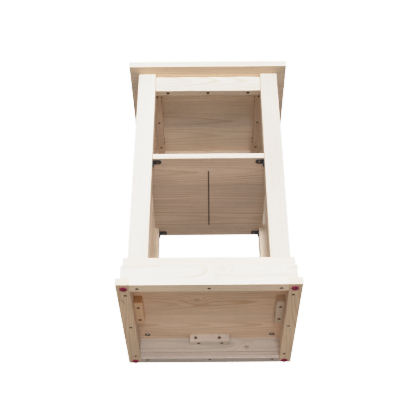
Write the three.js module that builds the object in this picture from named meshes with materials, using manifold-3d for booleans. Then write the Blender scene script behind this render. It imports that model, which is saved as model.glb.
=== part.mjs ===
// Open wooden stand on a stepped plinth, seen upright: a top board, four square legs,
// a shelf on steel brackets and a three-tier plinth with round pads underneath.
// Millimetres, +Z up, +X to the right and the front facing -Y. The pads' undersides are at Z = 0
// and the object is centred on the Z axis.

import * as THREE from 'three';
import { mergeVertices } from 'three/addons/utils/BufferGeometryUtils.js';
import Module from 'manifold-3d';

const wasm = await Module();
wasm.setup();

// ---- Driving dimensions ----

const PAD_RADIUS = 9.5;
const PAD_HEIGHT = 2;
const PAD_X = 202;
const PAD_FRONT_Y = -188;
const PAD_REAR_Y = 196;

const BASE_WIDTH = 440;
const BASE_DEPTH = 414;
const STRIP_THICKNESS = 19;
const STRIP_FRONT_WIDTH = 31;
const STRIP_SIDE_WIDTH = 32;
const STRIP_REAR_WIDTH = 26;

const WALL_INSET = 10;
const WALL_THICKNESS = 19;
const WALL_HEIGHT = 41;

const DECK_INSET = 14;
const DECK_THICKNESS = 24;

const LEG_SIZE = 48;
const LEG_CENTRE_X = 171.5;
const LEG_CENTRE_Y = 166.5;
const LEG_LENGTH = 621;

const TOP_WIDTH = 442;
const TOP_DEPTH = 436;
const TOP_THICKNESS = 24;
const TOP_ROUNDING = 8;

const APRON_HEIGHT = 55;
const APRON_THICKNESS = 19;
const APRON_FRONT_Y = -168.5;
const APRON_REAR_Y = 158.5;
const RAIL_SIZE = 20;
const RAIL_CENTRE_X = 147;

const SHELF_THICKNESS = 16;
const SHELF_UNDERSIDE_Z = 404;
const SHELF_WIDTH = 315;
const SHELF_DEPTH = 362;
const GROOVE_WIDTH = 3.5;
const GROOVE_LENGTH = 254;
const GROOVE_DEPTH = 11;

const BRACKET_ARM = 23;
const BRACKET_PLATE = 17;
const BRACKET_WIDTH = 16;
const BRACKET_THICKNESS = 2;
const BRACKET_HOLE_REACH = 13;

const CLEAT_SIZE = 22;
const CLEAT_LENGTH = 108;

const LEG_EASE = 1.5;   // chamfer on the edges of the legs
const BOARD_EASE = 0.8; // chamfer on the edges of every other board
const FIT = 0.3;        // gap between a cut and the piece in it

// Screws: head radius, shank radius and length. A head sinks by its own height.
const FRAME_SCREW = { head: 3.8, shank: 2, length: 38, recess: 1.2 };
const APRON_SCREW = { head: 3.8, shank: 2, length: 50, recess: 20 };
const BRACKET_SCREW = { head: 3.2, shank: 1.6, length: 13, recess: 0 };
const BLIND_HOLE = { radius: 3.4, depth: 3 };
const BOLT = { counterbore: 7.5, recess: 9, flats: 10, headHeight: 5, shank: 3, length: 60 };
const ROUND_SEGMENTS = 16;

// ---- Levels and planes that follow from them ----

const STRIP_Z = PAD_HEIGHT;
const WALL_Z = STRIP_Z + STRIP_THICKNESS;
const DECK_Z = WALL_Z + WALL_HEIGHT;
const LEG_Z = DECK_Z + DECK_THICKNESS;
const TOP_Z = LEG_Z + LEG_LENGTH;
const LEG_INNER_X = LEG_CENTRE_X - LEG_SIZE / 2;
const LEG_INNER_Y = LEG_CENTRE_Y - LEG_SIZE / 2;
const WALL_OUTER_X = BASE_WIDTH / 2 - WALL_INSET;
const WALL_OUTER_Y = BASE_DEPTH / 2 - WALL_INSET;
const WALL_INNER_X = WALL_OUTER_X - WALL_THICKNESS;
const WALL_INNER_Y = WALL_OUTER_Y - WALL_THICKNESS;

// ---- Looks ----

const pine = { color: 0xe6cda4, roughness: 0.62, metalness: 0 };
const blackSteel = { color: 0x1d1b1a, roughness: 0.45, metalness: 0.6 };
const zincSteel = { color: 0xa8a49a, roughness: 0.35, metalness: 0.9 };
const redPlastic = { color: 0x8e1230, roughness: 0.25, metalness: 0 };

const group = new THREE.Group();

function addPart(name, geometry, look, x = 0, y = 0, z = 0) {
  const mesh = new THREE.Mesh(geometry, new THREE.MeshStandardMaterial(look));
  mesh.name = name;
  mesh.position.set(x, y, z);
  group.add(mesh);
  return mesh;
}

// ---- Solid modelling helpers ----

function toSolid(geometry) {
  const plain = geometry.clone();
  plain.deleteAttribute('normal');
  plain.deleteAttribute('uv');
  const merged = mergeVertices(plain, 1e-4);
  return new wasm.Manifold(new wasm.Mesh({
    numProp: 3,
    vertProperties: new Float32Array(merged.attributes.position.array),
    triVerts: new Uint32Array(merged.index.array),
  }));
}

function toGeometry(solid) {
  const mesh = solid.getMesh();
  const indexed = new THREE.BufferGeometry();
  indexed.setAttribute('position', new THREE.BufferAttribute(mesh.vertProperties, 3));
  indexed.setIndex(new THREE.BufferAttribute(mesh.triVerts, 1));
  const flat = indexed.toNonIndexed();
  flat.computeVertexNormals();
  return flat;
}

function cutFrom(geometry, cutters) {
  let solid = toSolid(geometry);
  for (const cutter of cutters) solid = solid.subtract(toSolid(cutter));
  return toGeometry(solid);
}

// A board centred in X and Y, standing on Z = 0, with every edge chamfered.
function board(width, depth, height, ease = BOARD_EASE) {
  const x = width / 2;
  const y = depth / 2;
  const outline = new THREE.Shape();
  outline.moveTo(-x + ease, -y);
  outline.lineTo(x - ease, -y);
  outline.lineTo(x, -y + ease);
  outline.lineTo(x, y - ease);
  outline.lineTo(x - ease, y);
  outline.lineTo(-x + ease, y);
  outline.lineTo(-x, y - ease);
  outline.lineTo(-x, -y + ease);
  outline.closePath();
  return new THREE.ExtrudeGeometry(outline, {
    depth: height - 2 * ease,
    bevelThickness: ease,
    bevelSize: ease,
    bevelOffset: -ease,
    bevelSegments: 1,
  }).translate(0, 0, ease);
}

function block(width, depth, height, x = 0, y = 0, z = 0) {
  return new THREE.BoxGeometry(width, depth, height).translate(x, y, z);
}

// A body of revolution about Z from [radius, height] pairs that start and end on the axis.
function turned(profile, segments = ROUND_SEGMENTS) {
  const points = profile.map(([radius, height]) => new THREE.Vector2(radius, height));
  return new THREE.LatheGeometry(points, segments).rotateX(Math.PI / 2);
}

// A round cutter along +Z from the origin, started slightly below it.
function drill(radius, depth) {
  return turned([[0, -1], [radius, -1], [radius, depth], [0, depth]]);
}

// A countersunk wood screw that points up: its flat head faces -Z at Z = 0.
function woodScrew({ head, shank, length }) {
  const coneHeight = head - shank;
  const tipHeight = 3 * shank;
  const body = turned([
    [0, 0], [head, 0], [head, 0.4], [shank, 0.4 + coneHeight],
    [shank, length - tipHeight], [0, length],
  ]);
  const driveLength = head * 1.1;
  const driveWidth = head * 0.26;
  const driveDepth = 1.4;
  return cutFrom(body, [
    block(driveLength, driveWidth, driveDepth, 0, 0, 0),
    block(driveWidth, driveLength, driveDepth, 0, 0, 0),
  ]);
}

// The hole that a screw needs, with its mouth at Z = 0 and the head sunk by the recess.
function screwHole({ head, shank, length, recess }) {
  const wide = head + FIT;
  const narrow = shank + FIT;
  return turned([
    [0, -1], [wide, -1], [wide, recess + 0.4 + FIT],
    [narrow, recess + 0.4 + FIT + wide - narrow], [narrow, recess + length + FIT],
    [0, recess + length + FIT],
  ]);
}

// The part of a screw's hole that lies past the first board, of the given thickness.
function pilotHole({ shank, length, recess }, firstThickness) {
  return drill(shank + FIT, recess + length + FIT - firstThickness);
}

// ---- Base frame of flat strips ----

const sideStripX = (BASE_WIDTH - STRIP_SIDE_WIDTH) / 2;
const crossStripLength = BASE_WIDTH - 2 * STRIP_SIDE_WIDTH;
const sideScrewX = 199.5;
const strips = [
  {
    name: 'front', width: crossStripLength, depth: STRIP_FRONT_WIDTH,
    x: 0, y: (STRIP_FRONT_WIDTH - BASE_DEPTH) / 2,
    screws: [[-170, -188], [0, -188], [170, -188]],
  },
  {
    name: 'rear', width: crossStripLength, depth: STRIP_REAR_WIDTH,
    x: 0, y: (BASE_DEPTH - STRIP_REAR_WIDTH) / 2,
    screws: [[-169, 189], [0, 189], [169, 189]],
  },
  {
    name: 'left', width: STRIP_SIDE_WIDTH, depth: BASE_DEPTH, x: -sideStripX, y: 0,
    screws: [[-sideScrewX, -157], [-sideScrewX, 3], [-sideScrewX, 165]],
  },
  {
    name: 'right', width: STRIP_SIDE_WIDTH, depth: BASE_DEPTH, x: sideStripX, y: 0,
    screws: [[sideScrewX, -157], [sideScrewX, 0], [sideScrewX, 157]],
  },
];

for (const strip of strips) {
  const holes = strip.screws.map(([x, y]) => screwHole(FRAME_SCREW).translate(x - strip.x, y - strip.y, 0));
  const body = board(strip.width, strip.depth, STRIP_THICKNESS);
  addPart(`base_strip_${strip.name}`, cutFrom(body, holes), pine, strip.x, strip.y, STRIP_Z);
  strip.screws.forEach(([x, y], index) => {
    const name = `strip_screw_${strip.name}_${index + 1}`;
    addPart(name, woodScrew(FRAME_SCREW), zincSteel, x, y, STRIP_Z + FRAME_SCREW.recess);
  });
}

// ---- Plinth walls: front and rear run the full width, the sides fit between them ----

const walls = [
  { name: 'front', width: 2 * WALL_OUTER_X, depth: WALL_THICKNESS, x: 0, y: -WALL_OUTER_Y + WALL_THICKNESS / 2 },
  { name: 'rear', width: 2 * WALL_OUTER_X, depth: WALL_THICKNESS, x: 0, y: WALL_OUTER_Y - WALL_THICKNESS / 2 },
  { name: 'left', width: WALL_THICKNESS, depth: 2 * WALL_INNER_Y, x: -WALL_OUTER_X + WALL_THICKNESS / 2, y: 0 },
  { name: 'right', width: WALL_THICKNESS, depth: 2 * WALL_INNER_Y, x: WALL_OUTER_X - WALL_THICKNESS / 2, y: 0 },
];

for (const wall of walls) {
  const { screws } = strips.find((strip) => strip.name === wall.name);
  const holes = screws.map(([x, y]) => (
    pilotHole(FRAME_SCREW, STRIP_THICKNESS).translate(x - wall.x, y - wall.y, 0)));
  const body = board(wall.width, wall.depth, WALL_HEIGHT);
  addPart(`plinth_wall_${wall.name}`, cutFrom(body, holes), pine, wall.x, wall.y, WALL_Z);
}

// ---- Cleats in the angle between the walls and the deck ----

// Each cleat lies along X or Y. Screws enter its underside and its inner face.
const cleatOffsetX = WALL_INNER_X - CLEAT_SIZE / 2;
const cleatOffsetY = WALL_INNER_Y - CLEAT_SIZE / 2;
const cleats = [
  { name: 'front', alongX: true, x: 0, y: -cleatOffsetY, inward: 1 },
  { name: 'rear', alongX: true, x: 0, y: cleatOffsetY, inward: -1 },
  { name: 'left', alongX: false, x: -cleatOffsetX, y: 0, inward: 1 },
  { name: 'right', alongX: false, x: cleatOffsetX, y: 0, inward: -1 },
];
const CLEAT_UNDER_SCREWS = [-30, 33];
const CLEAT_FACE_SCREWS = [-38, 26];

// A blind cutter whose mouth lies on the face that points along -Z, turned to face another way.
function blindHole() {
  return drill(BLIND_HOLE.radius, BLIND_HOLE.depth);
}

for (const cleat of cleats) {
  const size = cleat.alongX ? [CLEAT_LENGTH, CLEAT_SIZE] : [CLEAT_SIZE, CLEAT_LENGTH];
  const place = (along, hole) => (cleat.alongX ? hole.translate(along, 0, 0) : hole.translate(0, along, 0));
  const underHoles = CLEAT_UNDER_SCREWS.map((along) => place(along, blindHole()));
  const faceHoles = CLEAT_FACE_SCREWS.map((along) => {
    const hole = blindHole().translate(0, 0, -CLEAT_SIZE / 2);
    if (cleat.alongX) hole.rotateX(cleat.inward * Math.PI / 2);
    else hole.rotateY(-cleat.inward * Math.PI / 2);
    return place(along, hole.translate(0, 0, CLEAT_SIZE / 2));
  });
  const body = cutFrom(board(...size, CLEAT_SIZE), [...underHoles, ...faceHoles]);
  addPart(`cleat_${cleat.name}`, body, pine, cleat.x, cleat.y, DECK_Z - CLEAT_SIZE);
}

// ---- Corners: everything that repeats at the four legs ----

const corners = [];
for (const [depthName, signY] of [['front', -1], ['rear', 1]]) {
  for (const [sideName, signX] of [['left', -1], ['right', 1]]) {
    corners.push({ name: `${depthName}_${sideName}`, signX, signY });
  }
}

// Red pads, slightly domed, under the base frame.
for (const { name, signX, signY } of corners) {
  const pad = turned([
    [0, 0], [PAD_RADIUS - 2, 0], [PAD_RADIUS - 0.6, 0.5], [PAD_RADIUS, 1.2],
    [PAD_RADIUS, PAD_HEIGHT], [0, PAD_HEIGHT],
  ], 32);
  addPart(`glide_pad_${name}`, pad, redPlastic, signX * PAD_X, signY < 0 ? PAD_FRONT_Y : PAD_REAR_Y, 0);
}

// Leg bolts enter from below through counterbores in the deck.
const boltX = 169;
const boltY = 157;
const boltHeadZ = DECK_Z + BOLT.recess - BOLT.headHeight;

function legBolt() {
  const head = new THREE.CylinderGeometry(BOLT.flats / Math.sqrt(3), BOLT.flats / Math.sqrt(3), BOLT.headHeight, 6)
    .rotateX(Math.PI / 2).translate(0, 0, BOLT.headHeight / 2);
  const shank = turned([[0, BOLT.headHeight - 1], [BOLT.shank, BOLT.headHeight - 1],
    [BOLT.shank, BOLT.length - BOLT.shank], [0, BOLT.length]]);
  return toGeometry(toSolid(head).add(toSolid(shank)));
}

const deckWidth = BASE_WIDTH - 2 * DECK_INSET;
const deckDepth = BASE_DEPTH - 2 * DECK_INSET;
const deckHoles = [];
for (const { name, signX, signY } of corners) {
  deckHoles.push(drill(BOLT.counterbore, BOLT.recess + FIT).translate(signX * boltX, signY * boltY, 0));
  deckHoles.push(drill(BOLT.shank + FIT, DECK_THICKNESS + 1).translate(signX * boltX, signY * boltY, 0));
  addPart(`leg_bolt_${name}`, legBolt(), zincSteel, signX * boltX, signY * boltY, boltHeadZ);
}
addPart('deck_board', cutFrom(board(deckWidth, deckDepth, DECK_THICKNESS), deckHoles), pine, 0, 0, DECK_Z);

// Brackets: a rounded arm under the shelf and a rounded plate down the leg's inner face.
const bracketPlateHoleZ = SHELF_UNDERSIDE_Z - BRACKET_HOLE_REACH + 1;
const bracketArmHoleX = LEG_INNER_X - BRACKET_HOLE_REACH;

// A flat tongue along +X from the origin with a half-round end, lying on Z = 0.
function tongue(reach) {
  const half = BRACKET_WIDTH / 2;
  const outline = new THREE.Shape();
  outline.moveTo(0, -half);
  outline.lineTo(reach - half, -half);
  outline.absarc(reach - half, 0, half, -Math.PI / 2, Math.PI / 2, false);
  outline.lineTo(0, half);
  outline.closePath();
  return new THREE.ExtrudeGeometry(outline, { depth: BRACKET_THICKNESS, bevelEnabled: false, curveSegments: 8 });
}

// The bracket for a leg on the left: the bend is at the origin, the arm points along +X.
function shelfBracket() {
  const arm = tongue(BRACKET_ARM).translate(0, 0, -BRACKET_THICKNESS);
  const plate = tongue(BRACKET_PLATE).rotateY(Math.PI / 2);
  const hole = () => drill(BRACKET_SCREW.shank + FIT, 3 * BRACKET_THICKNESS);
  const armHole = hole().translate(BRACKET_HOLE_REACH, 0, -2 * BRACKET_THICKNESS);
  const plateHole = hole().rotateY(Math.PI / 2).translate(-BRACKET_THICKNESS, 0, 1 - BRACKET_HOLE_REACH);
  const sheet = toSolid(arm).add(toSolid(plate));
  return toGeometry(sheet.subtract(toSolid(armHole)).subtract(toSolid(plateHole)));
}

// A pan-head screw that points up: its head lies below Z = 0 and its shank above.
function panScrew({ head, shank, length }) {
  const body = turned([
    [0, -2], [head * 0.6, -1.8], [head * 0.92, -1.1], [head, 0],
    [shank, 0], [shank, length - 3 * shank], [0, length],
  ]);
  return cutFrom(body, [
    block(head, head * 0.26, 1.6, 0, 0, -2),
    block(head * 0.26, head, 1.6, 0, 0, -2),
  ]);
}

// Legs, with the hole for the bolt below and for the bracket's screw in the inner face.
for (const { name, signX, signY } of corners) {
  const legX = signX * LEG_CENTRE_X;
  const legY = signY * LEG_CENTRE_Y;
  const boltHole = drill(BOLT.shank + FIT, BOLT.length)
    .translate(signX * boltX - legX, signY * boltY - legY, 0);
  const screwReach = BRACKET_SCREW.length + FIT;
  const bracketHole = drill(BRACKET_SCREW.shank + FIT, screwReach)
    .rotateY(signX * Math.PI / 2)
    .translate(-signX * LEG_SIZE / 2, 0, bracketPlateHoleZ - LEG_Z);
  const leg = cutFrom(board(LEG_SIZE, LEG_SIZE, LEG_LENGTH, LEG_EASE), [boltHole, bracketHole]);
  addPart(`leg_${name}`, leg, pine, legX, legY, LEG_Z);

  const bend = SHELF_UNDERSIDE_Z;
  const bracket = addPart(`shelf_bracket_${name}`, shelfBracket(), blackSteel, signX * LEG_INNER_X, legY, bend);
  if (signX > 0) bracket.rotation.z = Math.PI;
  const screwFace = LEG_INNER_X - BRACKET_THICKNESS - FIT / 3;
  const legScrew = panScrew(BRACKET_SCREW);
  const armScrew = panScrew(BRACKET_SCREW);
  const legScrewMesh = addPart(`bracket_leg_screw_${name}`, legScrew, blackSteel,
    signX * screwFace, legY, bracketPlateHoleZ);
  legScrewMesh.rotation.y = signX * Math.PI / 2;
  addPart(`bracket_shelf_screw_${name}`, armScrew, blackSteel,
    signX * bracketArmHoleX, legY, SHELF_UNDERSIDE_Z - BRACKET_THICKNESS - FIT / 3);
}

// ---- Shelf: notched around the legs, with a long saw groove in its underside ----

const shelfCuts = [block(GROOVE_WIDTH, GROOVE_LENGTH, 2 * GROOVE_DEPTH)];
const notchGap = 2 * FIT;
for (const { signX, signY } of corners) {
  const notch = block(LEG_SIZE + 2 * notchGap, LEG_SIZE + 2 * notchGap, 3 * SHELF_THICKNESS,
    signX * LEG_CENTRE_X, signY * LEG_CENTRE_Y, 0);
  shelfCuts.push(notch);
  shelfCuts.push(drill(BRACKET_SCREW.shank + FIT, BRACKET_SCREW.length)
    .translate(signX * bracketArmHoleX, signY * LEG_CENTRE_Y, 0));
}
addPart('shelf_board', cutFrom(board(SHELF_WIDTH, SHELF_DEPTH, SHELF_THICKNESS), shelfCuts), pine,
  0, 0, SHELF_UNDERSIDE_Z);

// ---- Top frame: two aprons between the legs and two square rails along the sides ----

const APRON_SCREW_XS = [-113, 0, 113];
const apronZ = TOP_Z - APRON_HEIGHT;
const apronLength = 2 * LEG_INNER_X;
const apronHoles = (hole) => APRON_SCREW_XS.map((x) => hole().translate(x, 0, 0));

const frontApron = cutFrom(board(apronLength, APRON_THICKNESS, APRON_HEIGHT),
  apronHoles(() => screwHole(APRON_SCREW)));
addPart('apron_front', frontApron, pine, 0, APRON_FRONT_Y, apronZ);
const rearApron = cutFrom(board(apronLength, APRON_THICKNESS, APRON_HEIGHT),
  apronHoles(() => drill(APRON_SCREW.head + FIT, APRON_SCREW.recess)));
addPart('apron_rear', rearApron, pine, 0, APRON_REAR_Y, apronZ);
APRON_SCREW_XS.forEach((x, index) => {
  const z = apronZ + APRON_SCREW.recess;
  addPart(`apron_screw_front_${index + 1}`, woodScrew(APRON_SCREW), zincSteel, x, APRON_FRONT_Y, z);
});

// The rails fit between the front and rear legs. Screws enter the underside and the inner face.
const RAIL_UNDER_SCREWS = [-117, -4, 110];
const RAIL_FACE_SCREWS = [-104, -88, 80, 96];
const railLength = 2 * LEG_INNER_Y;
for (const [sideName, signX] of [['left', -1], ['right', 1]]) {
  const underHoles = RAIL_UNDER_SCREWS.map((y) => blindHole().translate(0, y, 0));
  const faceHoles = RAIL_FACE_SCREWS.map((y) => drill(BLIND_HOLE.radius / 2, BLIND_HOLE.depth)
    .rotateY(signX * Math.PI / 2)
    .translate(-signX * RAIL_SIZE / 2, y, RAIL_SIZE / 2));
  const rail = cutFrom(board(RAIL_SIZE, railLength, RAIL_SIZE), [...underHoles, ...faceHoles]);
  addPart(`top_rail_${sideName}`, rail, pine, signX * RAIL_CENTRE_X, 0, TOP_Z - RAIL_SIZE);
}

// ---- Top board: flat underside, rounded upper edge ----

function topBoard() {
  const outline = new THREE.Shape();
  const x = TOP_WIDTH / 2;
  const y = TOP_DEPTH / 2;
  outline.moveTo(-x, -y);
  outline.lineTo(x, -y);
  outline.lineTo(x, y);
  outline.lineTo(-x, y);
  outline.closePath();
  const fullHeight = 2 * TOP_THICKNESS;
  const slab = new THREE.ExtrudeGeometry(outline, {
    depth: fullHeight - 2 * TOP_ROUNDING,
    bevelThickness: TOP_ROUNDING,
    bevelSize: TOP_ROUNDING,
    bevelOffset: -TOP_ROUNDING,
    bevelSegments: 6,
  }).translate(0, 0, TOP_ROUNDING - TOP_THICKNESS);
  const upperHalf = toSolid(slab).intersect(toSolid(
    block(TOP_WIDTH + 2, TOP_DEPTH + 2, TOP_THICKNESS, 0, 0, TOP_THICKNESS / 2)));
  const screwDepth = APRON_SCREW.recess + APRON_SCREW.length - APRON_HEIGHT + FIT;
  const holes = APRON_SCREW_XS.map((screwX) => (
    drill(APRON_SCREW.shank + FIT, screwDepth).translate(screwX, APRON_FRONT_Y, 0)));
  return cutFrom(toGeometry(upperHalf), holes);
}
addPart('top_board', topBoard(), pine, 0, 0, TOP_Z);

export default group;
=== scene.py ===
"""An open softwood stand on a stepped plinth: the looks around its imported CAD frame."""

import math

import bmesh
import bpy
from mathutils import Matrix, Vector


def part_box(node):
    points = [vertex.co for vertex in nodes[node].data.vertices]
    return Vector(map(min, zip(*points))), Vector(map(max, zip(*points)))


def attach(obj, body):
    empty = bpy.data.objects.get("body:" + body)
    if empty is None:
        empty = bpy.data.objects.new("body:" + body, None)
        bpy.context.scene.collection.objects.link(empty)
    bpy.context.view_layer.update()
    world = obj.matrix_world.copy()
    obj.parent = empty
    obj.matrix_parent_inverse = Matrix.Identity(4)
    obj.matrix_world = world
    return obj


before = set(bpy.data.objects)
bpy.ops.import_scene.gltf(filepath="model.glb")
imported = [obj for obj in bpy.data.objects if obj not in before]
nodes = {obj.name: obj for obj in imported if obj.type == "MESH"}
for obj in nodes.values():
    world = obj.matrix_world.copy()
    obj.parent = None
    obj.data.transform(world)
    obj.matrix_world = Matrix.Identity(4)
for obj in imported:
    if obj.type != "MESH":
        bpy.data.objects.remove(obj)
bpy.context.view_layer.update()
MM = 0.001


class Graph:
    """Short calls that build one node tree."""

    def __init__(self, tree):
        self.tree = tree

    def add(self, kind, **settings):
        node = self.tree.nodes.new(kind)
        for key, value in settings.items():
            setattr(node, key, value)
        return node

    def feed(self, socket, value):
        """Links a socket into this one, or sets its value. Three numbers also serve as an opaque colour."""
        if isinstance(value, bpy.types.NodeSocket):
            self.tree.links.new(value, socket)
        elif hasattr(value, "__len__") and len(value) == 3 and len(socket.default_value) == 4:
            socket.default_value = (*value, 1.0)
        else:
            socket.default_value = value

    def math(self, operation, a, b=0.0, clamp=False):
        node = self.add("ShaderNodeMath", operation=operation, use_clamp=clamp)
        self.feed(node.inputs[0], a)
        self.feed(node.inputs[1], b)
        return node.outputs[0]

    def plus(self, a, b):
        return self.math("ADD", a, b)

    def minus(self, a, b):
        return self.math("SUBTRACT", a, b)

    def times(self, a, b, clamp=False):
        return self.math("MULTIPLY", a, b, clamp)

    def over(self, a, b):
        return self.math("DIVIDE", a, b)

    def less(self, a, b):
        """1 where a is less than b, else 0."""
        return self.math("LESS_THAN", a, b)

    def vector(self, operation, a, b=(0.0, 0.0, 0.0)):
        node = self.add("ShaderNodeVectorMath", operation=operation)
        self.feed(node.inputs[0], a)
        self.feed(node.inputs[1], b)
        return node.outputs["Value" if operation == "LENGTH" else "Vector"]

    def split(self, vector):
        node = self.add("ShaderNodeSeparateXYZ")
        self.feed(node.inputs[0], vector)
        return node.outputs

    def join(self, x, y, z):
        node = self.add("ShaderNodeCombineXYZ")
        for socket, value in zip(node.inputs, (x, y, z)):
            self.feed(socket, value)
        return node.outputs[0]

    def mix(self, factor, a, b, blend="MIX"):
        node = self.add("ShaderNodeMix", data_type="RGBA", blend_type=blend)
        self.feed(node.inputs[0], factor)
        self.feed(node.inputs[6], a)
        self.feed(node.inputs[7], b)
        return node.outputs[2]

    def paint(self, colour, tint):
        """The colour multiplied by a tint."""
        return self.mix(1.0, colour, tint, "MULTIPLY")

    def noise(self, vector, scale, detail, output="Fac"):
        node = self.add("ShaderNodeTexNoise")
        self.feed(node.inputs["Vector"], vector)
        self.feed(node.inputs["Scale"], scale)
        self.feed(node.inputs["Detail"], detail)
        return node.outputs[output]

    def stretched(self, vector, scale, detail, output="Fac"):
        """Noise with its own scale, per metre, across, through and along the grain."""
        return self.noise(self.vector("MULTIPLY", vector, scale), 1.0, detail, output)

    def random(self, value, output="Value"):
        node = self.add("ShaderNodeTexWhiteNoise", noise_dimensions="1D")
        self.feed(node.inputs["W"], value)
        return node.outputs[output]

    def ramp(self, value, stops, interpolation):
        node = self.add("ShaderNodeValToRGB")
        ramp = node.color_ramp
        ramp.interpolation = interpolation
        while len(ramp.elements) < len(stops):
            ramp.elements.new(0.5)
        for element, (place, level) in zip(ramp.elements, stops):
            element.position = place
            element.color = (level, level, level, 1.0)
        self.feed(node.inputs[0], value)
        return node.outputs[0]

    def span(self, value, low, high, to_low, to_high):
        """Maps low..high to to_low..to_high and stays inside that."""
        node = self.add("ShaderNodeMapRange", clamp=True)
        for socket, number in zip(node.inputs, (value, low, high, to_low, to_high)):
            self.feed(socket, number)
        return node.outputs[0]

    def bump(self, height, strength, distance):
        node = self.add("ShaderNodeBump")
        self.feed(node.inputs["Height"], height)
        self.feed(node.inputs["Strength"], strength)
        self.feed(node.inputs["Distance"], distance)
        return node.outputs[0]


def new_material(name):
    """An empty material, with the graph that fills it and its shader."""
    material = bpy.data.materials.new(name)
    material.use_nodes = True
    return material, Graph(material.node_tree), material.node_tree.nodes["Principled BSDF"]


def dress(obj, material):
    """Puts the material in every slot of the object, leaving its mesh alone."""
    if not obj.material_slots:
        obj.data.materials.append(material)
    for holder in obj.material_slots:
        holder.link = "OBJECT"
        holder.material = material


# ---------------------------------------------------------------- timber: colours and patterns
NEUTRAL = (1.0, 1.0, 1.0)
EARLY = (0.80, 0.635, 0.475)     # linear: the pale summer wood between two rings
LATE = (0.60, 0.405, 0.250)      # the darker line of a ring
KNOT = (0.36, 0.185, 0.090)
KNOT_CRACK = (0.16, 0.08, 0.04)
END_GRAIN = (0.66, 0.50, 0.38)   # what an end-grain face multiplies the colour by
COOL_STRIP = (0.97, 0.98, 1.04)  # what some glued strips multiply it by
PAINTED_HOLE_SHADE = (0.13, 0.070, 0.036)      # painted shade on the wall of a drilled hole or saw cut, where little light reaches

# noise scales per metre: across, through and along the grain
WANDER = (5.0, 5.0, 1.6)
RIPPLE = (60.0, 60.0, 7.0)
KNOT_RIPPLE = (90.0, 90.0, 60.0)
BLOTCH = (11.0, 11.0, 3.0)
FIBRE = (620.0, 620.0, 16.0)
FLECK = (1400.0, 1400.0, 90.0)

ONE_PIECE = 0.9                  # a strip width above this many metres means a board with no glue line
GLUE_FROM, GLUE_TO = 0.0008, 0.0003
GLUE_DARKNESS = 0.14
TAPER = 0.012                    # how fast the rings widen along the log
WANDER_BY = 0.034                # how far they wander, in metres
RIPPLE_BY = 0.55                 # and ripple, in rings
KNOT_LENGTH = 1.35               # a knot is that much longer along the grain
KNOT_PULL = 5.0                  # rings that bend round a knot
RING_PROFILE = ((0.0, 0.10), (0.45, 0.16), (0.82, 0.95), (0.93, 0.9), (1.0, 0.1))

TIMBER_INPUTS = (
    ("Grain", "NodeSocketVector"),       # across, through, along the grain, from the board's middle
    ("End", "NodeSocketFloat"),          # 1 where the face cuts across the grain
    ("Pith", "NodeSocketVector"),        # where the heart of the log lies: across, through
    ("Ring", "NodeSocketFloat"),         # width of one year's growth
    ("Seed", "NodeSocketFloat"),
    ("Strip", "NodeSocketFloat"),        # width of one glued strip
    ("Shift", "NodeSocketFloat"),        # how far the glue lines are moved across
    ("Tint", "NodeSocketColor"),
    ("Contrast", "NodeSocketFloat"),
    ("KnotAt", "NodeSocketVector"),      # across and along; z is how strongly it shows
    ("KnotSize", "NodeSocketFloat"),
)
TIMBER_OUTPUTS = (
    ("Color", "NodeSocketColor"),
    ("Roughness", "NodeSocketFloat"),
    ("Normal", "NodeSocketVector"),
)


def glued_strip(g, given, across):
    """The place inside this strip, the strip's three random numbers, and 1 if the board is glued up."""
    width = given["Strip"]
    place = g.plus(g.over(g.plus(across, given["Shift"]), width), 0.5)
    index = g.plus(g.math("FLOOR", place), g.times(given["Seed"], 7.3))
    local = g.times(g.minus(g.math("FRACT", place), 0.5), width)
    luck = g.split(g.random(index, "Color"))
    glued = g.minus(1.0, g.less(ONE_PIECE, width))
    return local, luck, glued


def knot_field(g, given, across, along, seeded):
    """How far the knot bends the rings here, how much of this point is knot, and the knot's own colour."""
    at = g.split(given["KnotAt"])
    size = given["KnotSize"]
    side = g.over(g.minus(across, at[0]), size)
    length = g.over(g.minus(along, at[1]), g.times(size, KNOT_LENGTH))
    wobble = g.stretched(seeded, KNOT_RIPPLE, 1.0)
    far = g.vector("LENGTH", g.join(side, length, 0.0))
    far = g.plus(far, g.times(g.minus(wobble, 0.5), 0.5))
    pull = g.times(g.math("POWER", math.e, g.times(far, -0.55)), KNOT_PULL)
    core = g.times(g.span(far, 0.75, 1.15, 1.0, 0.0), at[2])
    rings = g.span(g.math("SINE", g.times(far, 16.0)), -1.0, 1.0, 0.55, 1.0)
    return pull, core, g.mix(rings, KNOT_CRACK, KNOT)


def late_wood(g, given, local, through, along, seeded, luck, glued, pull):
    """How dark the ring is at this point. The rings run round the pith and wander along the log."""
    slow = g.stretched(seeded, WANDER, 1.0, "Color")
    slow = g.split(g.vector("SUBTRACT", slow, (0.5, 0.5, 0.5)))
    quick = g.stretched(seeded, RIPPLE, 2.0)
    pith = g.split(given["Pith"])
    pith_u = g.plus(pith[0], g.times(glued, g.times(luck[0], 0.06)))
    pith_v = g.plus(pith[1], g.times(glued, g.times(luck[1], -0.04)))
    off_u = g.plus(g.minus(local, pith_u), g.times(slow[0], WANDER_BY))
    off_v = g.plus(g.minus(through, pith_v), g.times(slow[1], WANDER_BY))
    radius = g.vector("LENGTH", g.join(off_u, off_v, 0.0))
    radius = g.plus(radius, g.times(along, TAPER))
    year = g.over(radius, given["Ring"])
    year = g.plus(year, g.times(g.minus(quick, 0.5), RIPPLE_BY))
    year = g.plus(year, pull)
    late = g.ramp(g.math("FRACT", year), RING_PROFILE, "EASE")
    vary = g.span(g.random(g.plus(g.math("FLOOR", year), given["Seed"])), 0.0, 1.0, 0.45, 1.0)
    return g.times(late, vary)


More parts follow.
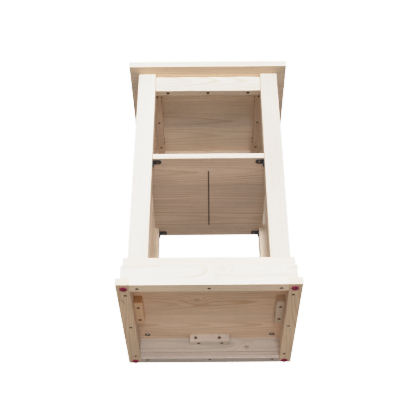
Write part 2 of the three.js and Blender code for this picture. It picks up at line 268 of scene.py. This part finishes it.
def brightness(g, fibre, fleck, broad, luck, glue):
    """How light the wood is here, from its fibres, flecks, blotches, its strip's luck and the glue line."""
    level = g.span(fibre, 0.25, 0.75, 0.90, 1.08)
    level = g.times(level, g.span(broad, 0.25, 0.75, 0.87, 1.10))
    level = g.times(level, g.span(luck[2], 0.0, 1.0, 0.86, 1.09))
    level = g.times(level, g.minus(1.0, g.times(fleck, 0.16)))
    level = g.times(level, g.minus(1.0, glue))
    return g.join(level, level, level)


def timber_group():
    """Sawn softwood as a solid: the rings of the log cut by whatever face is looked at."""
    tree = bpy.data.node_groups.new("sawn_timber", "ShaderNodeTree")
    for in_out, sockets in (("INPUT", TIMBER_INPUTS), ("OUTPUT", TIMBER_OUTPUTS)):
        for name, kind in sockets:
            tree.interface.new_socket(name, in_out=in_out, socket_type=kind)
    g = Graph(tree)
    given = g.add("NodeGroupInput").outputs
    across, through, along = g.split(given["Grain"])
    seed = given["Seed"]
    seeded = g.vector("ADD", given["Grain"], g.join(g.times(seed, 1.37), g.times(seed, 2.11), seed))
    local, luck, glued = glued_strip(g, given, across)
    pull, core, knot_colour = knot_field(g, given, across, along, seeded)
    late = late_wood(g, given, local, through, along, seeded, luck, glued, pull)

    fibre = g.stretched(seeded, FIBRE, 2.0)
    fleck = g.span(g.stretched(seeded, FLECK, 0.0), 0.66, 0.74, 0.0, 1.0)
    broad = g.stretched(seeded, BLOTCH, 2.0)
    half = g.times(given["Strip"], 0.5)
    glue = g.span(g.math("ABSOLUTE", local), g.minus(half, GLUE_FROM), g.minus(half, GLUE_TO),
                  0.0, GLUE_DARKNESS)

    tone = g.mix(g.times(late, given["Contrast"], clamp=True), EARLY, LATE)
    tone = g.mix(g.times(core, 0.8), tone, knot_colour)
    tone = g.paint(tone, brightness(g, fibre, fleck, broad, luck, glue))
    tone = g.paint(tone, g.mix(g.times(glued, luck[0]), NEUTRAL, COOL_STRIP))
    tone = g.mix(given["End"], tone, g.paint(tone, END_GRAIN))
    tone = g.paint(tone, given["Tint"])

    rough = g.plus(g.span(fibre, 0.2, 0.8, 0.56, 0.70), g.times(late, -0.08))
    height = g.minus(g.times(fibre, 0.7), g.times(late, 0.5))
    height = g.minus(height, g.times(glue, 1.5))
    out = g.add("NodeGroupOutput")
    g.feed(out.inputs["Color"], tone)
    g.feed(out.inputs["Roughness"], rough)
    g.feed(out.inputs["Normal"], g.bump(height, 0.35, 0.4 * MM))
    return tree


TIMBER = timber_group()
AXES = {"X": (2, 1, 0), "Y": (0, 2, 1), "Z": (0, 1, 2)}   # across, through, along, by the grain's axis
FLAT_X = (1, 2, 0)                                        # the same for a wide board that lies flat
NO_KNOT = (9.0, 9.0, 0.0)


# ---------------------------------------------------------------- timber: one material per board
WALL_EDGE = (0.10 * MM, 0.25 * MM)    # past a hole's radius, where the painted shade of its wall fades out
RIM_EDGE = (0.2 * MM, 1.0 * MM)       # and where the weaker painted shade round its mouth does
# how strong the painted shade is round a hole's mouth and inside the shelf's groove
RIM_SHADE = 0.22
GROOVE_SHADE = 0.8


def painted_hole_shade(g, centred, mouth, look, radius, depth):
    """1 inside a drilled hole, where shade is painted on its wall, and less round its mouth, where the
    painted shade fades out.
    """
    along = [abs(part) for part in look]
    across = [1.0 - part for part in along]
    offset = g.vector("SUBTRACT", centred, mouth)
    off_axis = g.vector("LENGTH", g.vector("MULTIPLY", offset, across))
    deep = g.vector("LENGTH", g.vector("MULTIPLY", offset, along))
    inside = g.span(off_axis, radius + WALL_EDGE[0], radius + WALL_EDGE[1], 1.0, 0.0)
    rim = g.span(off_axis, radius + RIM_EDGE[0], radius + RIM_EDGE[1], RIM_SHADE, 0.0)
    return g.times(g.math("MAXIMUM", inside, rim), g.less(deep, depth))


def painted_groove_shade(g, place, width, length, top):
    """Painted shade inside the saw groove: near the middle of the board in X and Y, and below top."""
    narrow = g.less(g.math("ABSOLUTE", place[0]), width / 2)
    short = g.less(g.math("ABSOLUTE", place[1]), length / 2)
    return g.times(g.times(g.times(narrow, short), g.less(place[2], top)), GROOVE_SHADE)


def timber(name, obj_box, grain, seed, tint=NEUTRAL, pith=(0.012, -0.05), ring=0.0034, strip=1.0,
           shift=0.0, contrast=0.6, knot=None, flat=False, end=0.6, bores=(), groove=None):
    """The material of one board. flat: the wide face looks up or down, not to the side."""
    material, g, shader = new_material(name)
    coordinates = g.add("ShaderNodeTexCoord").outputs
    low, high = obj_box
    middle = (low + high) / 2
    centred = g.vector("SUBTRACT", coordinates["Object"], middle)
    place = g.split(centred)
    order = FLAT_X if flat and grain == "X" else AXES[grain]
    facing = g.split(coordinates["Normal"])
    board = g.add("ShaderNodeGroup", node_tree=TIMBER)
    values = {
        "Grain": g.join(*(place[i] for i in order)),
        "End": g.span(g.math("ABSOLUTE", facing[order[2]]), 0.6, 0.95, 0.0, end),
        "Pith": (*pith, 0.0), "Ring": ring, "Seed": seed, "Strip": strip, "Shift": shift,
        "Tint": tint, "Contrast": contrast,
        "KnotAt": (knot[0], knot[1], knot[3]) if knot else NO_KNOT,
        "KnotSize": knot[2] if knot else 0.01,
    }
    for key, value in values.items():
        g.feed(board.inputs[key], value)
    # painted shade on the walls of the board's holes and inside its groove, where little light reaches
    shades = [painted_hole_shade(g, centred, bore["at"] - middle, bore["look"], bore["radius"], bore["depth"])
              for bore in bores]
    if groove:
        shades.append(painted_groove_shade(g, place, *groove))
    colour = board.outputs["Color"]
    if shades:
        dark = shades[0]
        for shade in shades[1:]:
            dark = g.math("MAXIMUM", dark, shade)
        colour = g.mix(dark, colour, PAINTED_HOLE_SHADE)
    g.feed(shader.inputs["Base Color"], colour)
    for key in ("Roughness", "Normal"):
        g.feed(shader.inputs[key], board.outputs[key])
    shader.inputs["Specular IOR Level"].default_value = 0.25
    return material


TOP_TINT = (1.05, 1.04, 1.01)
SHELF_TINT = (0.97, 0.95, 0.94)
DECK_TINT = (1.11, 1.0, 0.92)
RAIL_TINT = (0.93, 0.81, 0.74)
FRONT_STRIP_TINT = (1.15, 1.14, 1.13)
SIDE_STRIP_TINT = (1.0, 0.92, 0.84)
# the rear strip and rear wall are darkened and cooled as painted shade, for their inner faces sit in shade
# behind the plinth's front
REAR_STRIP_SHADE_TINT = (0.85, 0.87, 0.97)
REAR_WALL_SHADE_TINT = (0.70, 0.75, 0.82)
LEFT_CLEAT_TINT = (0.98, 0.81, 0.65)
RIGHT_CLEAT_TINT = (0.90, 0.90, 0.90)
REAR_CLEAT_TINT = (0.95, 1.00, 1.09)
# width, length and top of the painted shade inside the shelf's saw groove
SHELF_GROOVE = (3.7 * MM, 254.4 * MM, 4 * MM)
# how each board was sawn and how it looks; a knot is across, along, size and strength
BOARDS = {
    "top_board": dict(grain="X", flat=True, strip=0.112, shift=0.020, pith=(-0.03, -0.055),
                      ring=0.0040, tint=TOP_TINT, contrast=0.75),
    "shelf_board": dict(grain="X", flat=True, strip=0.118, shift=0.011, pith=(-0.03, -0.060),
                        ring=0.0036, tint=SHELF_TINT, contrast=1.1, groove=SHELF_GROOVE),
    "deck_board": dict(grain="X", flat=True, strip=0.104, shift=0.010, pith=(-0.03, -0.050),
                       ring=0.0038, tint=DECK_TINT, contrast=1.0, knot=(-0.030, -0.031, 0.006, 0.4)),
    "apron_front": dict(grain="X", contrast=1.1, pith=(0.01, 0.06), ring=0.0030),
    "apron_rear": dict(grain="X", pith=(-0.01, 0.05), ring=0.0032),
    "plinth_wall_front": dict(grain="X", contrast=1.1, pith=(0.004, 0.045), ring=0.0042,
                              knot=(0.0145, 0.030, 0.007, 0.3)),
    "plinth_wall_rear": dict(grain="X", pith=(0.0, -0.05), ring=0.0038, tint=REAR_WALL_SHADE_TINT,
                             knot=(-0.008, 0.100, 0.005, 0.7)),
    "plinth_wall_left": dict(grain="Y", pith=(0.03, -0.03)),
    "plinth_wall_right": dict(grain="Y", pith=(-0.03, -0.03)),
    "base_strip_front": dict(grain="X", flat=True, pith=(0.03, 0.02), tint=FRONT_STRIP_TINT),
    "base_strip_rear": dict(grain="X", flat=True, pith=(0.02, 0.03), tint=REAR_STRIP_SHADE_TINT),
    "base_strip_left": dict(grain="Y", pith=(-0.02, 0.03), tint=SIDE_STRIP_TINT, end=0.0, contrast=0.8),
    "base_strip_right": dict(grain="Y", pith=(0.02, 0.035), tint=SIDE_STRIP_TINT, end=0.0, contrast=0.8),
    "top_rail_left": dict(grain="Y", pith=(0.03, 0.02), tint=RAIL_TINT),
    "top_rail_right": dict(grain="Y", pith=(-0.03, 0.02), tint=RAIL_TINT),
    "cleat_left": dict(grain="Y", pith=(0.02, -0.01), tint=LEFT_CLEAT_TINT, ring=0.0028, end=1.0),
    "cleat_right": dict(grain="Y", pith=(-0.02, -0.01), tint=RIGHT_CLEAT_TINT, ring=0.0028),
    "cleat_front": dict(grain="X", pith=(0.02, -0.01), ring=0.0028),
    "cleat_rear": dict(grain="X", pith=(0.02, -0.01), tint=REAR_CLEAT_TINT, ring=0.0028),
    "leg_front_left": dict(grain="Z", contrast=0.95, pith=(0.045, 0.030), ring=0.0032),
    "leg_front_right": dict(grain="Z", contrast=0.95, pith=(-0.050, 0.020)),
    "leg_rear_left": dict(grain="Z", contrast=0.95, pith=(0.035, -0.045), ring=0.0036),
    "leg_rear_right": dict(grain="Z", contrast=0.95, pith=(-0.030, -0.050), ring=0.0030),
}


# ---------------------------------------------------------------- metal, plastic and graphite
def surface(name, colours, roughness, metallic, grain_scale, bump_strength, coat=0.0):
    """A plain-made surface: two colours mottled together, uneven gloss and a fine texture."""
    material, g, shader = new_material(name)
    place = g.add("ShaderNodeTexCoord").outputs["Object"]
    mottle = g.noise(place, grain_scale * 0.12, 3.0)
    grit = g.noise(place, grain_scale, 3.0)
    g.feed(shader.inputs["Base Color"], g.mix(g.span(mottle, 0.3, 0.7, 0.0, 1.0), *colours))
    g.feed(shader.inputs["Roughness"], g.span(grit, 0.3, 0.7, *roughness))
    g.feed(shader.inputs["Normal"], g.bump(grit, bump_strength, 0.2 * MM))
    shader.inputs["Metallic"].default_value = metallic
    shader.inputs["Coat Weight"].default_value = coat
    shader.inputs["Coat Roughness"].default_value = 0.12
    return material


STEEL = surface("black_coated_steel", ((0.005, 0.004, 0.004), (0.014, 0.012, 0.011)),
                roughness=(0.42, 0.62), metallic=0.0, grain_scale=2600.0, bump_strength=0.5)
ZINC = surface("zinc_plated_steel", ((0.50, 0.47, 0.42), (0.72, 0.69, 0.62)),
               roughness=(0.24, 0.46), metallic=1.0, grain_scale=2200.0, bump_strength=0.3)
# bronze-coloured steel for the wood screws, kept dark so that their sunk heads also give painted shade in
# their holes
BRONZED = surface("bronzed_steel", ((0.13, 0.080, 0.042), (0.28, 0.18, 0.10)),
                  roughness=(0.34, 0.52), metallic=1.0, grain_scale=2200.0, bump_strength=0.3)
RED = surface("red_plastic", ((0.15, 0.004, 0.022), (0.38, 0.035, 0.085)),
              roughness=(0.22, 0.40), metallic=0.0, grain_scale=1500.0, bump_strength=0.25, coat=0.6)
GRAPHITE = surface("graphite", ((0.10, 0.08, 0.07), (0.20, 0.16, 0.13)),
                   roughness=(0.5, 0.8), metallic=0.0, grain_scale=4000.0, bump_strength=0.3)

# the first start of a node's name that fits gives its material; every board has its own
NODE_FINISHES = (
    ("glide_pad", RED),
    ("shelf_bracket", STEEL),
    ("bracket_leg", STEEL),
    ("leg_bolt", ZINC),
    ("", BRONZED),
)


# ---------------------------------------------------------------- holes and what sits in them
DOWN = Vector((0, 0, -1))
RAIL_SCREW_YS = (-0.117, -0.004, 0.110)
RAIL_PIN_YS = (-0.104, -0.088, 0.080, 0.096)
APRON_SCREW_XS = (-0.113, 0.0, 0.113)
CLEAT_UNDER_PLACES = (-0.030, 0.033)
CLEAT_FACE_PLACES = (-0.038, 0.026)
# each cleat's side, the axis that it runs along (0 for X, 1 for Y) and where its inner face looks
CLEAT_SIDES = (("left", 1, (1, 0, 0)), ("right", 1, (-1, 0, 0)),
               ("front", 0, (0, 1, 0)), ("rear", 0, (0, -1, 0)))
# a hole's radius and depth, which its painted shade covers, how deep its screw's face is sunk, and the
# screw's head and length
RAIL_HOLE = dict(radius=3.4 * MM, depth=3.2 * MM, sunk=2.2 * MM, head=3.2 * MM, length=2.2 * MM)
CLEAT_HOLE = dict(radius=4.1 * MM, depth=3.2 * MM, sunk=1.2 * MM, head=3.3 * MM, length=2.2 * MM)
PIN_HOLE = dict(radius=1.7 * MM, depth=3.2 * MM, sunk=-2.8 * MM, head=2.2 * MM, length=4.6 * MM)
APRON_HOLE = dict(radius=4.1 * MM, depth=21 * MM)
REAR_APRON_HOLE = dict(APRON_HOLE, sunk=16 * MM, head=3.7 * MM, length=2.6 * MM)
STRIP_HOLE = dict(radius=3.9 * MM, depth=3.0 * MM)
COUNTERBORE = dict(radius=7.5 * MM, depth=10 * MM)


def hole(board, at, look, size, screw=None):
    """A hole in a board: at is the middle of its mouth. screw names the head that is put into it."""
    return dict(size, board=board, at=Vector(at), look=Vector(look), screw=screw)


def rail_holes():
    for side, sign in (("left", -1), ("right", 1)):
        rail = f"top_rail_{side}"
        low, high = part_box(rail)
        middle = (low + high) / 2
        for number, y in enumerate(RAIL_SCREW_YS, 1):
            yield hole(rail, (middle.x, y, low.z), DOWN, RAIL_HOLE, f"rail_screw_{side}_{number}")
        inner = high.x if sign < 0 else low.x
        for number, y in enumerate(RAIL_PIN_YS, 1):
            yield hole(rail, (inner, y, middle.z), (-sign, 0, 0), PIN_HOLE, f"rail_nail_{side}_{number}")


def rear_apron_holes():
    low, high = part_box("apron_rear")
    for number, x in enumerate(APRON_SCREW_XS, 1):
        yield hole("apron_rear", (x, (low.y + high.y) / 2, low.z), DOWN, REAR_APRON_HOLE,
                   f"apron_screw_rear_{number}")


def cleat_holes():
    for side, axis, look in CLEAT_SIDES:
        cleat = f"cleat_{side}"
        low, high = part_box(cleat)
        middle = (low + high) / 2
        face = middle + Vector(look) * abs((high - low).dot(Vector(look))) / 2
        under = Vector((middle.x, middle.y, low.z))
        starts = ([(under, DOWN, along) for along in CLEAT_UNDER_PLACES]
                  + [(face, look, along) for along in CLEAT_FACE_PLACES])
        for number, (start, way, along) in enumerate(starts, 1):
            at = start.copy()
            at[axis] += along
            yield hole(cleat, at, way, CLEAT_HOLE, f"cleat_screw_{side}_{number}")


def cad_screw_holes():
    """The holes whose screws or bolts are CAD nodes, so only the painted shade on their walls is needed."""
    for name in sorted(nodes):
        low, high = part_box(name)
        x, y = (low.x + high.x) / 2, (low.y + high.y) / 2
        if name.startswith("strip_screw_"):
            board, size = "base_strip_" + name.split("_")[2], STRIP_HOLE
        elif name.startswith("apron_screw_front_"):
            board, size = "apron_front", APRON_HOLE
        elif name.startswith("leg_bolt_"):
            board, size = "deck_board", COUNTERBORE
        else:
            continue
        yield hole(board, (x, y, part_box(board)[0].z), DOWN, size)


HOLES = [*rail_holes(), *rear_apron_holes(), *cleat_holes(), *cad_screw_holes()]


def dress_nodes():
    """Gives every CAD node its material."""
    for number, (name, how) in enumerate(BOARDS.items()):
        bores = [each for each in HOLES if each["board"] == name]
        seed = 1.0 + 0.618 * number
        dress(nodes[name], timber(f"pine_{name}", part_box(name), seed=seed, bores=bores, **how))
    for name, obj in nodes.items():
        if name not in BOARDS:
            dress(obj, next(finish for start, finish in NODE_FINISHES if name.startswith(start)))


# ---------------------------------------------------------------- new pieces
ROUND_STEPS = 32


def circle(mesh, radius, height):
    """One ring of vertices round Z."""
    turns = [2 * math.pi * step / ROUND_STEPS for step in range(ROUND_STEPS)]
    return [mesh.verts.new((radius * math.cos(turn), radius * math.sin(turn), height)) for turn in turns]


def skin(mesh, rows):
    """Faces between each closed row of vertices and the one after it."""
    for inner, outer in zip(rows, rows[1:]):
        for step in range(len(inner)):
            after = (step + 1) % len(inner)
            mesh.faces.new((inner[step], outer[step], outer[after], inner[after]))


def cap(mesh, point, row):
    """Triangles from one point to a closed row."""
    for step in range(len(row)):
        mesh.faces.new((point, row[step], row[(step + 1) % len(row)]))


def new_object(name, data):
    obj = bpy.data.objects.new(name, data)
    bpy.context.scene.collection.objects.link(obj)
    return obj


def piece(name, mesh, material, slot, place=Matrix()):
    """The finished mesh as a piece of the visual model that rides on the root body."""
    bmesh.ops.recalc_face_normals(mesh, faces=mesh.faces)
    data = bpy.data.meshes.new(name)
    mesh.to_mesh(data)
    mesh.free()
    obj = new_object(name, data)
    obj.matrix_world = place
    dress(obj, material)
    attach(obj, "root")


HEAD_RINGS = 7
RECESS_ARM = 0.17        # half width of the cross recess's arms, in head radii
RECESS_REACH = 0.62      # how far they reach
RECESS_SLOPE = 0.32
RECESS_MIDDLE = 0.36
CROWN = 0.06             # how far the head's rim falls away
HEAD_SIDE = ((1.0, 0.12), (0.62, 0.5), (0.5, 0.62))   # radius and depth below the face, in head radii
SHANK = 0.5
TIP = 0.4


def screw(name, at, direction, radius, length, recess):
    """A countersunk screw, head first: at is the middle of its face, direction is where that looks."""
    mesh = bmesh.new()
    rows = []
    for number in range(1, HEAD_RINGS + 1):
        share = number / HEAD_RINGS
        row = circle(mesh, radius * share, -CROWN * radius * share ** 4)
        for vertex in row:
            near_axis = min(abs(vertex.co.x), abs(vertex.co.y)) < RECESS_ARM * radius
            if recess and near_axis and share < RECESS_REACH:
                vertex.co.z -= RECESS_SLOPE * radius * (1 - share)
        rows.append(row)
    rows += [circle(mesh, radius * share, -radius * depth) for share, depth in HEAD_SIDE]
    rows.append(circle(mesh, radius * SHANK, -length))
    middle = mesh.verts.new((0, 0, -RECESS_MIDDLE * radius if recess else 0.0))
    tip = mesh.verts.new((0, 0, -length - TIP * radius))
    skin(mesh, rows)
    cap(mesh, middle, rows[0])
    cap(mesh, tip, rows[-1])
    turn = Vector((0, 0, 1)).rotation_difference(direction).to_matrix().to_4x4()
    piece(name, mesh, BRONZED, "zinc_steel", Matrix.Translation(at) @ turn)


def ring(name, centre, inner, outer, thickness, material, slot):
    """A flat ring with eased edges, lying across Z."""
    ease = 0.15 * thickness
    profile = ((inner, 0), (outer - ease, 0), (outer, ease), (outer, thickness - ease),
               (outer - ease, thickness), (inner, thickness))
    mesh = bmesh.new()
    rows = [circle(mesh, radius, height) for radius, height in profile]
    skin(mesh, rows + rows[:1])
    piece(name, mesh, material, slot, Matrix.Translation(centre))


def small_screws():
    """Heads in the holes of the rails, the rear apron and the plinth's cleats."""
    for each in HOLES:
        if each["screw"]:
            at = each["at"] - each["look"] * each["sunk"]
            screw(each["screw"], at, each["look"], each["head"], each["length"], recess=each["sunk"] > 0)


RING_INSET = 0.7 * MM
CAP_INSET = 0.5 * MM
CAP_GAP = 0.1 * MM       # between the cap and the CAD bolt above it


def bolt_caps():
    """A bright cap with a socket near the mouth of each leg bolt's counterbore, and round it a black ring
    that is painted shade for the counterbore.
    """
    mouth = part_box("deck_board")[0].z
    for end in ("front", "rear"):
        for side in ("left", "right"):
            low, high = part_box(f"leg_bolt_{end}_{side}")
            x, y = (low.x + high.x) / 2, (low.y + high.y) / 2
            # the black ring is painted shade: a dark sheet where the counterbore lies in shade
            ring(f"bolt_shade_ring_{end}_{side}", (x, y, mouth + RING_INSET), inner=4.6 * MM, outer=7.3 * MM,
                 thickness=1.0 * MM, material=STEEL, slot="black_steel")
            ring(f"bolt_cap_{end}_{side}", (x, y, mouth + CAP_INSET), inner=1.5 * MM, outer=4.5 * MM,
                 thickness=low.z - mouth - CAP_INSET - CAP_GAP, material=ZINC, slot="zinc_steel")


STROKE_FROM, STROKE_TO = Vector((-0.2110, -0.1440)), Vector((-0.2045, -0.1205))
STROKE_STEPS = 14
STROKE_BOW = 0.9 * MM
STROKE_DEPTH = 0.06 * MM


def pencil_mark():
    """A carpenter's stroke across the underside of the left base strip, near its front."""
    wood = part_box("base_strip_left")[0].z
    along = (STROKE_TO - STROKE_FROM).normalized()
    across = Vector((-along.y, along.x))
    mesh = bmesh.new()
    rows = []
    for step in range(STROKE_STEPS + 1):
        share = step / STROKE_STEPS
        swell = math.sin(math.pi * share)
        half = (0.35 + 0.35 * swell) * MM
        middle = STROKE_FROM.lerp(STROKE_TO, share) + across * STROKE_BOW * swell
        rows.append([mesh.verts.new((*(middle + across * side * half), wood - below))
                     for side, below in ((-1, 0), (1, 0), (1, STROKE_DEPTH), (-1, STROKE_DEPTH))])
    skin(mesh, rows)
    mesh.faces.new(rows[0])
    mesh.faces.new(rows[-1])
    piece("pencil_mark", mesh, GRAPHITE, "pine")


# ---------------------------------------------------------------- floor, light, camera
FLOOR_HALF = 20.0
FLOOR_DROP = 0.3 * MM
FADE_FROM, FADE_TO = 1.0, 4.5    # metres from the stand


def floor():
    """A plain pale floor that fades into the backdrop. A view from beneath looks through it."""
    data = bpy.data.meshes.new("floor")
    corners = [(x, y, -FLOOR_DROP) for x, y in ((-FLOOR_HALF, -FLOOR_HALF), (FLOOR_HALF, -FLOOR_HALF),
                                                (FLOOR_HALF, FLOOR_HALF), (-FLOOR_HALF, FLOOR_HALF))]
    data.from_pydata(corners, [], [(0, 1, 2, 3)])
    obj = new_object("floor", data)
    material, g, shader = new_material("pale_floor")
    place = g.add("ShaderNodeTexCoord").outputs["Object"]
    cloud = g.noise(place, 3.0, 3.0)
    far = g.span(g.vector("LENGTH", place), FADE_FROM, FADE_TO, 0.0, 1.0)
    from_below = g.add("ShaderNodeNewGeometry").outputs["Backfacing"]
    g.feed(shader.inputs["Base Color"], g.mix(cloud, (0.80, 0.80, 0.80), (0.86, 0.86, 0.86)))
    shader.inputs["Roughness"].default_value = 0.8
    clear = g.add("ShaderNodeBsdfTransparent")
    pick = g.add("ShaderNodeMixShader")
    g.feed(pick.inputs[0], g.math("MAXIMUM", from_below, far))
    g.feed(pick.inputs[1], shader.outputs[0])
    g.feed(pick.inputs[2], clear.outputs[0])
    g.feed(material.node_tree.nodes["Material Output"].inputs["Surface"], pick.outputs[0])
    dress(obj, material)
    obj.visible_shadow = False
    obj.visible_diffuse = False


COOL = (0.85, 1.0, 1.22)
WARM = (1.0, 0.93, 0.84)
KEY_RISE = math.radians(17.8)
LOW_RISE = math.radians(28.0)
# name, way the light travels, strength, width of its source in degrees, colour
SUNS = (
    ("key", (-0.03, math.cos(KEY_RISE), math.sin(KEY_RISE)), 0.9, 8.0, COOL),
    ("front_fill", (0.03, 1.0, -0.04), 4.6, 8.0, COOL),
    ("low_fill", (-0.06, math.cos(LOW_RISE), math.sin(LOW_RISE)), 0.72, 70.0, NEUTRAL),
    ("top_fill", (0.25, 0.45, -1.0), 1.8, 60.0, NEUTRAL),
    ("rear_fill", (-0.3, -1.0, -0.25), 1.5, 60.0, NEUTRAL),
    ("left_fill", (1.0, 0.1, -0.2), 0.4, 60.0, COOL),
    ("right_fill", (-1.0, 0.1, -0.2), 0.8, 60.0, COOL),
)
FOOT_LIGHT_AT = Vector((0.0, -0.45, -0.85))
FOOT_LIGHT_AIM = Vector((0.0, 0.0, 0.05))
AMBIENT = 0.17
BACKDROP = 4.0


def lamp(name, kind, travel, energy, colour):
    """A light that shines along travel."""
    data = bpy.data.lights.new(name, kind)
    data.energy = energy
    data.color = colour
    obj = new_object(name, data)
    obj.rotation_mode = "QUATERNION"
    obj.rotation_quaternion = travel.to_track_quat("-Z", "Y")
    return obj


def foot_light():
    """A soft panel near the foot of the stand, which lights the plinth's underside more than the top's."""
    obj = lamp("foot_light", "AREA", FOOT_LIGHT_AIM - FOOT_LIGHT_AT, 1.8, WARM)
    obj.location = FOOT_LIGHT_AT
    obj.data.size = 0.7
    obj.visible_camera = False


def backdrop():
    """White where the camera sees it, and a faint warm light all round."""
    world = bpy.data.worlds.new("studio")
    bpy.context.scene.world = world
    world.use_nodes = True
    g = Graph(world.node_tree)
    background = world.node_tree.nodes["Background"]
    seen = g.add("ShaderNodeLightPath").outputs["Is Camera Ray"]
    g.feed(background.inputs["Color"], g.mix(seen, WARM, NEUTRAL))
    g.feed(background.inputs["Strength"], g.span(seen, 0.0, 1.0, AMBIENT, BACKDROP))


def light():
    """Soft studio light from the front and a little below, with a faint all-round fill."""
    for name, travel, strength, width, colour in SUNS:
        lamp(name, "SUN", Vector(travel), strength, colour).data.angle = math.radians(width)
    foot_light()
    backdrop()


# share of the backdrop's light, and the brightness that it is shown with
TONE_CURVE = ((0.05, 0.20), (0.10, 0.395), (0.15, 0.58), (0.20, 0.72), (0.25, 0.80),
              (0.325, 0.855), (0.45, 0.895), (0.70, 0.93))


def tone():
    """A camera's response: straight up to the middle tones, then a soft shoulder."""
    settings = bpy.context.scene.view_settings
    settings.view_transform = "Standard"
    settings.use_curve_mapping = True
    mapping = settings.curve_mapping
    mapping.white_level = (BACKDROP,) * 3
    for share, level in TONE_CURVE:
        mapping.curves[3].points.new(share, level)
    mapping.update()


CAMERA_AT = (0.0028, -1.8831, -0.9966)
PITCH = math.radians(36.03)
YAW = math.radians(-0.15)
ROLL = math.radians(-0.34)
LENS, SENSOR = 72.19, 36.0


def camera():
    """The photograph's view: from in front of the stand and below it, looking up at its underside."""
    ahead = Vector((math.sin(YAW) * math.cos(PITCH), math.cos(YAW) * math.cos(PITCH), math.sin(PITCH)))
    level = Vector((math.cos(YAW), -math.sin(YAW), 0.0))
    rise = level.cross(ahead)
    right = math.cos(ROLL) * level + math.sin(ROLL) * rise
    up = -math.sin(ROLL) * level + math.cos(ROLL) * rise
    data = bpy.data.cameras.new("camera")
    data.sensor_width = SENSOR
    data.lens = LENS
    data.clip_start, data.clip_end = 0.05, 60.0
    obj = new_object("camera", data)
    turn = Matrix((right, up, -ahead)).transposed().to_4x4()
    obj.matrix_world = Matrix.Translation(CAMERA_AT) @ turn
    bpy.context.scene.camera = obj


dress_nodes()
small_screws()
bolt_caps()
pencil_mark()
floor()
light()
tone()
camera()
